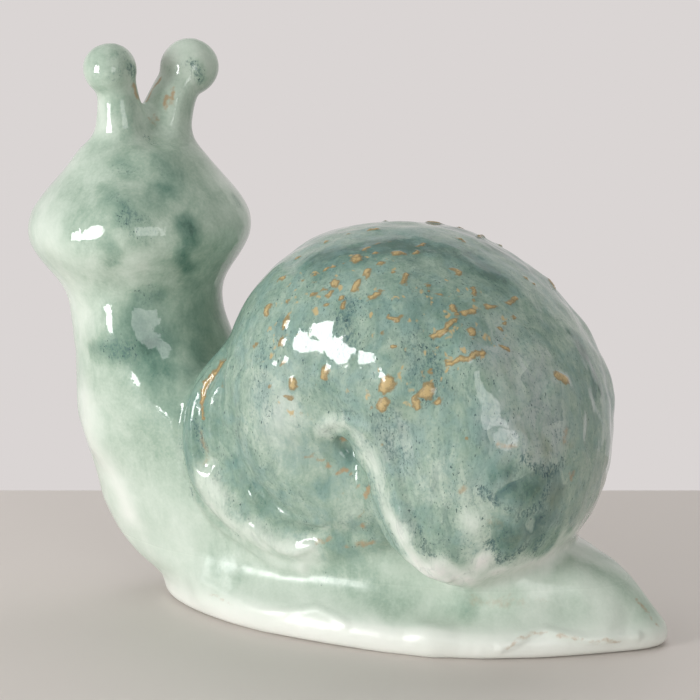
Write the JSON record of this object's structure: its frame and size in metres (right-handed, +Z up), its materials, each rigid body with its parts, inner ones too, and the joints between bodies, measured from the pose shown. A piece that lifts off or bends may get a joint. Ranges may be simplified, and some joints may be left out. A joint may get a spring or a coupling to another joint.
{
  "type": "snail figurine",
  "caption": "Free-standing glazed stoneware snail ornament: raised head on a thick neck, coiled shell on a long foot, two round-tipped eye stalks.",
  "frame": {"origin": "on the resting face under the sole, straight below the axis that the shell coils round", "axes": "+Z up; the head is toward -X and the tail toward +X; +Y is the snail's own right side"},
  "size_m": [0.1772, 0.0862, 0.1496],
  "materials": {
    "foot_glaze": "glossy white to pale mint glaze",
    "body_glaze": "glossy mint and sage reactive glaze",
    "shell_glaze": "glossy teal reactive glaze with ochre spots",
    "collar_glaze": "glossy teal and mint reactive glaze",
    "stalk_glaze": "glossy sage reactive glaze"
  },
  "bodies": {
    "root": {"foot_slab": "foot_glaze", "body": "body_glaze", "shell": "shell_glaze", "mantle_collar": "collar_glaze", "left_eye_stalk": "stalk_glaze", "right_eye_stalk": "stalk_glaze"}
  },
  "joints": []
}
